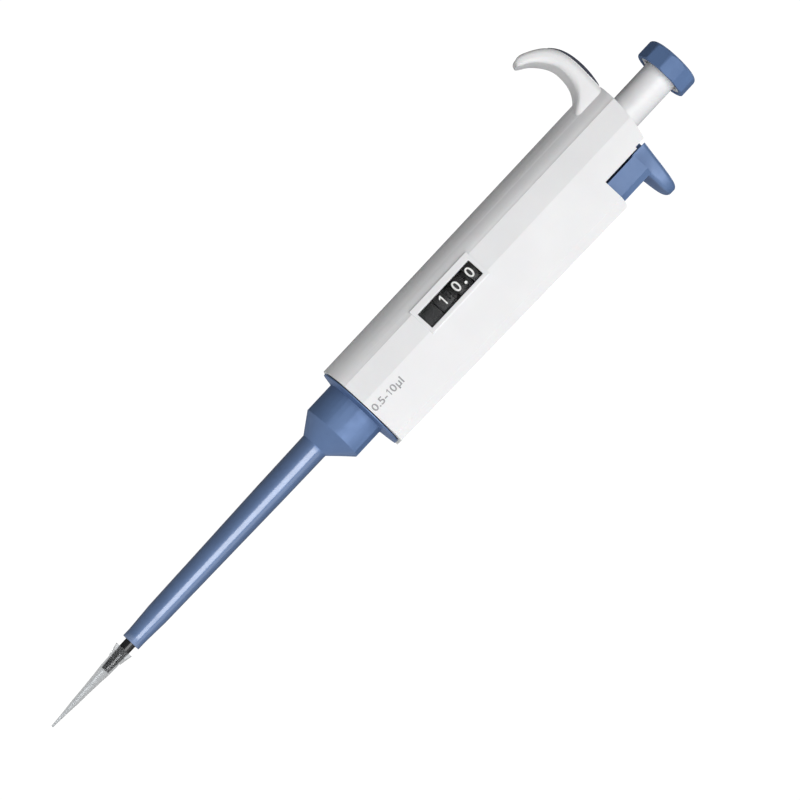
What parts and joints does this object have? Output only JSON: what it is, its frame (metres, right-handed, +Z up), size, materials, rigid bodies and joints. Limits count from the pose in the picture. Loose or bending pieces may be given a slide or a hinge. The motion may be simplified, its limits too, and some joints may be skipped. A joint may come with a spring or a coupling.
{
  "type": "adjustable micropipette",
  "caption": "Hand-held adjustable micropipette with a plunger knob that sets volume, drum display, finger hook, thumb tip ejector with long sleeve, and a disposable tip.",
  "frame": {"origin": "orifice of the disposable tip, on the pipette's axis", "axes": "+Z up the axis to the plunger knob, -X towards the finger hook, +X towards the ejector lever, -Y out of the volume display"},
  "size_m": [0.0595, 0.0256, 0.2645],
  "materials": {
    "white_plastic": "satin",
    "blue_plastic": "satin",
    "navy_pad": "matte",
    "clear_window": "clear",
    "black_polymer": "polished",
    "black_drum": "matte",
    "frame_plastic": "matte",
    "steel": "ground",
    "brass": "turned",
    "seal_polymer": "smooth",
    "black_rubber": "matte",
    "clear_tip": "clear"
  },
  "bodies": {
    "handle": {"handle_shell": "white_plastic", "top_cap": "white_plastic", "hook_insert": "navy_pad", "window_bezel": "white_plastic", "window_lens": "clear_window", "base_plate": "frame_plastic", "coupling_nut": "brass", "spring_housing": "frame_plastic", "nozzle_shaft": "black_polymer", "piston_seal": "seal_polymer", "seal_o_ring": "black_rubber", "seal_retainer": "brass", "blowout_spring": "steel", "blowout_washer": "steel", "counter_frame": "frame_plastic", "frame_top_plate": "frame_plastic", "frame_screws": "steel", "guide_bush": "brass", "thrust_washer": "steel", "pinion_shaft": "steel", "pinion_spacers": "steel", "drum_spacer": "black_drum", "nut_guide": "frame_plastic", "stem_bushing": "seal_polymer", "friction_ring": "black_rubber", "ejector_spring": "steel", "plunger_spring": "steel"},
    "plunger": {"plunger_rod": "steel", "piston_holder": "brass", "piston": "steel", "rod_screw": "steel"},
    "dial": {"dial_stem": "white_plastic", "knob_cap": "blue_plastic", "knob_ring": "white_plastic"},
    "tenths": {"screw_sleeve": "brass", "tenths_drum": "black_drum"},
    "ones": {"ones_drum": "black_drum"},
    "tens": {"tens_drum": "black_drum"},
    "ones_carry": {"ones_pinion": "seal_polymer"},
    "tens_carry": {"tens_pinion": "seal_polymer"},
    "stroke_stop": {"stroke_nut": "brass"},
    "ejector": {"ejector_button": "blue_plastic", "ejector_rod": "steel", "ejector_sleeve": "blue_plastic"},
    "tip": {"pipette_tip": "clear_tip"}
  },
  "joints": [
    {"name": "plunger_press", "type": "slide", "parent": "handle", "child": "plunger", "axis": [0, 0, -1], "range_m": [0, 0.013], "stiffness_N_per_m": 300, "springref_m": -0.008, "deforming": ["plunger_spring"]},
    {"name": "dial_turn", "type": "hinge", "parent": "plunger", "child": "dial", "pos_m": [0, 0, 0.26], "axis": [0, 0, 1], "range_deg": [-3421, 1]},
    {"name": "tenths_turn", "type": "hinge", "parent": "handle", "child": "tenths", "pos_m": [0, 0, 0.17], "axis": [0, 0, 1], "range_deg": [-3421, 1]},
    {"name": "ones_turn", "type": "hinge", "parent": "handle", "child": "ones", "pos_m": [0, 0, 0.17], "axis": [0, 0, 1], "range_deg": [-342.5, 0.5]},
    {"name": "tens_turn", "type": "hinge", "parent": "handle", "child": "tens", "pos_m": [0, 0, 0.17], "axis": [0, 0, 1], "range_deg": [-34.7, 0.5]},
    {"name": "ones_carry_turn", "type": "hinge", "parent": "handle", "child": "ones_carry", "pos_m": [0.0117, 0, 0.174], "axis": [0, 0, 1], "range_deg": [-1, 1882]},
    {"name": "tens_carry_turn", "type": "hinge", "parent": "handle", "child": "tens_carry", "pos_m": [0.0117, 0, 0.168], "axis": [0, 0, 1], "range_deg": [-1, 189]},
    {"name": "stroke_stop_lift", "type": "slide", "parent": "handle", "child": "stroke_stop", "axis": [0, 0, 1], "range_m": [0, 0.0095]},
    {"name": "ejector_press", "type": "slide", "parent": "handle", "child": "ejector", "axis": [0, 0, -1], "range_m": [0, 0.007], "stiffness_N_per_m": 200, "springref_m": -0.005, "deforming": ["ejector_spring"]},
    {"name": "tip_release", "type": "slide", "parent": "handle", "child": "tip", "axis": [0, 0, -1], "range_m": [-0.00001, 0.01401]}
  ],
  "couplings": [
    {"joint": "dial_turn", "follows": "stroke_stop_lift", "rad_per_m": -6283.2},
    {"joint": "tenths_turn", "follows": "stroke_stop_lift", "rad_per_m": -6283.2},
    {"joint": "ones_turn", "follows": "stroke_stop_lift", "rad_per_m": -628.32},
    {"joint": "tens_turn", "follows": "stroke_stop_lift", "rad_per_m": -62.832},
    {"joint": "ones_carry_turn", "follows": "stroke_stop_lift", "rad_per_m": 3455.8},
    {"joint": "tens_carry_turn", "follows": "stroke_stop_lift", "rad_per_m": 345.58},
    {"joint": "tip_release", "follows": "ejector_press", "ratio": 2}
  ]
}
